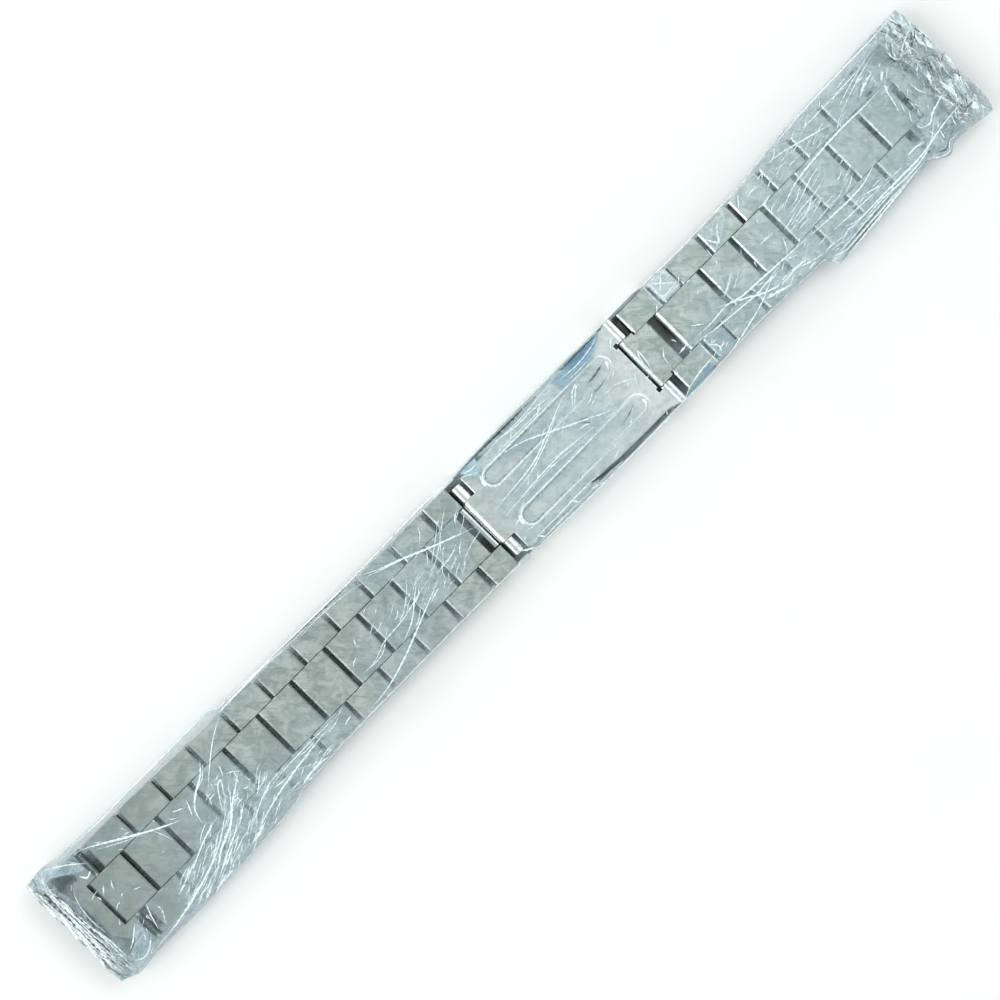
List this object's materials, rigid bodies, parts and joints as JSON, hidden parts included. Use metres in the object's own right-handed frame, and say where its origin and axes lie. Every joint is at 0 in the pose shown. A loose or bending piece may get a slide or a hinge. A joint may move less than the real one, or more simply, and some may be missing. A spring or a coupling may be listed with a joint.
{
  "type": "link watch bracelet",
  "caption": "Three-row steel link watch bracelet laid straight, with a folded deployant clasp, stamped blade, hinged links and curved end links.",
  "frame": {"origin": "middle of the bracelet's footprint, on the outer face of the clasp cover", "axes": "+X along the bracelet from the long half to the short half, +Y across its width, +Z towards the wrist, so the clasp cover's outer face is at Z = 0"},
  "size_m": [0.1854, 0.018, 0.0043],
  "materials": {
    "polished_rows": "brushed stainless steel with bright edges",
    "clasp_sheet": "pressed stainless steel sheet, fine brushing",
    "pin_steel": "turned stainless steel",
    "spring_steel": "bright spring steel strip"
  },
  "bodies": {
    "clasp_cover": {"clasp_cover": "clasp_sheet", "cover_lugs": "clasp_sheet", "lug_pin": "pin_steel", "catch_spring": "spring_steel", "cover_hinge_pin": "pin_steel"},
    "middle_blade": {"middle_blade": "clasp_sheet", "fold_hinge_pin": "pin_steel"},
    "inner_blade": {"inner_blade": "clasp_sheet", "chain_hinge_pin": "pin_steel"},
    "tongue": {"tongue_link": "polished_rows", "tongue_side_blocks": "polished_rows"},
    "bridge": {"bridge_link": "polished_rows", "bridge_side_links": "polished_rows"},
    "clasp_link": {"centre_link_clasp": "polished_rows"},
    "left_01": {"side_links_left_01": "polished_rows", "centre_link_left_01": "polished_rows"},
    "left_02": {"side_links_left_02": "polished_rows", "centre_link_left_02": "polished_rows"},
    "left_03": {"side_links_left_03": "polished_rows", "centre_link_left_03": "polished_rows"},
    "left_04": {"side_links_left_04": "polished_rows", "centre_link_left_04": "polished_rows"},
    "left_05": {"side_links_left_05": "polished_rows", "centre_link_left_05": "polished_rows"},
    "left_06": {"side_links_left_06": "polished_rows", "centre_link_left_06": "polished_rows"},
    "left_07": {"side_links_left_07": "polished_rows", "centre_link_left_07": "polished_rows"},
    "left_08": {"side_links_left_08": "polished_rows", "centre_link_left_08": "polished_rows"},
    "left_09": {"side_links_left_09": "polished_rows", "centre_link_left_09": "polished_rows"},
    "left_10": {"side_links_left_10": "polished_rows", "centre_link_left_10": "polished_rows"},
    "end_left": {"end_link_left": "polished_rows"},
    "right_01": {"side_links_right_01": "polished_rows", "centre_link_right_01": "polished_rows"},
    "right_02": {"side_links_right_02": "polished_rows", "centre_link_right_02": "polished_rows"},
    "right_03": {"side_links_right_03": "polished_rows", "centre_link_right_03": "polished_rows"},
    "right_04": {"side_links_right_04": "polished_rows", "centre_link_right_04": "polished_rows"},
    "right_05": {"side_links_right_05": "polished_rows", "centre_link_right_05": "polished_rows"},
    "right_06": {"side_links_right_06": "polished_rows", "centre_link_right_06": "polished_rows"},
    "end_right": {"end_link_right": "polished_rows"}
  },
  "joints": [
    {"name": "cover_fold", "type": "hinge", "parent": "clasp_cover", "child": "middle_blade", "pos_m": [0.0361, 0, 0.0007], "axis": [0, 1, 0], "range_deg": [0, 175]},
    {"name": "blade_fold", "type": "hinge", "parent": "middle_blade", "child": "inner_blade", "pos_m": [-0.0064, 0, 0.00255], "axis": [0, -1, 0], "range_deg": [0, 175]},
    {"name": "tongue_turn", "type": "hinge", "parent": "inner_blade", "child": "tongue", "pos_m": [0.0288, 0, 0.0029], "axis": [0, -1, 0], "range_deg": [0, 45]},
    {"name": "bridge_turn", "type": "hinge", "parent": "tongue", "child": "bridge", "pos_m": [0.0361, 0, 0.0029], "axis": [0, -1, 0], "range_deg": [-12, 25]},
    {"name": "right_01_turn", "type": "hinge", "parent": "bridge", "child": "right_01", "pos_m": [0.0431, 0, 0.0029], "axis": [0, -1, 0], "range_deg": [-12, 25]},
    {"name": "right_02_turn", "type": "hinge", "parent": "right_01", "child": "right_02", "pos_m": [0.0503, 0, 0.0029], "axis": [0, -1, 0], "range_deg": [-12, 25]},
    {"name": "right_03_turn", "type": "hinge", "parent": "right_02", "child": "right_03", "pos_m": [0.0575, 0, 0.0029], "axis": [0, -1, 0], "range_deg": [-12, 25]},
    {"name": "right_04_turn", "type": "hinge", "parent": "right_03", "child": "right_04", "pos_m": [0.0647, 0, 0.0029], "axis": [0, -1, 0], "range_deg": [-12, 25]},
    {"name": "right_05_turn", "type": "hinge", "parent": "right_04", "child": "right_05", "pos_m": [0.0719, 0, 0.0029], "axis": [0, -1, 0], "range_deg": [-12, 25]},
    {"name": "right_06_turn", "type": "hinge", "parent": "right_05", "child": "right_06", "pos_m": [0.0791, 0, 0.0029], "axis": [0, -1, 0], "range_deg": [-12, 25]},
    {"name": "end_right_turn", "type": "hinge", "parent": "right_06", "child": "end_right", "pos_m": [0.0863, 0, 0.0029], "axis": [0, -1, 0], "range_deg": [-12, 25]},
    {"name": "clasp_link_turn", "type": "hinge", "parent": "clasp_cover", "child": "clasp_link", "pos_m": [-0.0112, 0, 0.0029], "axis": [0, 1, 0], "range_deg": [-12, 25]},
    {"name": "left_01_turn", "type": "hinge", "parent": "clasp_link", "child": "left_01", "pos_m": [-0.0148, 0, 0.0029], "axis": [0, 1, 0], "range_deg": [-12, 25]},
    {"name": "left_02_turn", "type": "hinge", "parent": "left_01", "child": "left_02", "pos_m": [-0.022, 0, 0.0029], "axis": [0, 1, 0], "range_deg": [-12, 25]},
    {"name": "left_03_turn", "type": "hinge", "parent": "left_02", "child": "left_03", "pos_m": [-0.0292, 0, 0.0029], "axis": [0, 1, 0], "range_deg": [-12, 25]},
    {"name": "left_04_turn", "type": "hinge", "parent": "left_03", "child": "left_04", "pos_m": [-0.0364, 0, 0.0029], "axis": [0, 1, 0], "range_deg": [-12, 25]},
    {"name": "left_05_turn", "type": "hinge", "parent": "left_04", "child": "left_05", "pos_m": [-0.0436, 0, 0.0029], "axis": [0, 1, 0], "range_deg": [-12, 25]},
    {"name": "left_06_turn", "type": "hinge", "parent": "left_05", "child": "left_06", "pos_m": [-0.0508, 0, 0.0029], "axis": [0, 1, 0], "range_deg": [-12, 25]},
    {"name": "left_07_turn", "type": "hinge", "parent": "left_06", "child": "left_07", "pos_m": [-0.058, 0, 0.0029], "axis": [0, 1, 0], "range_deg": [-12, 25]},
    {"name": "left_08_turn", "type": "hinge", "parent": "left_07", "child": "left_08", "pos_m": [-0.0652, 0, 0.0029], "axis": [0, 1, 0], "range_deg": [-12, 25]},
    {"name": "left_09_turn", "type": "hinge", "parent": "left_08", "child": "left_09", "pos_m": [-0.0724, 0, 0.0029], "axis": [0, 1, 0], "range_deg": [-12, 25]},
    {"name": "left_10_turn", "type": "hinge", "parent": "left_09", "child": "left_10", "pos_m": [-0.0796, 0, 0.0029], "axis": [0, 1, 0], "range_deg": [-12, 25]},
    {"name": "end_left_turn", "type": "hinge", "parent": "left_10", "child": "end_left", "pos_m": [-0.0868, 0, 0.0029], "axis": [0, 1, 0], "range_deg": [-12, 25]}
  ],
  "couplings": [
    {"joint": "blade_fold", "follows": "cover_fold", "ratio": 1}
  ]
}
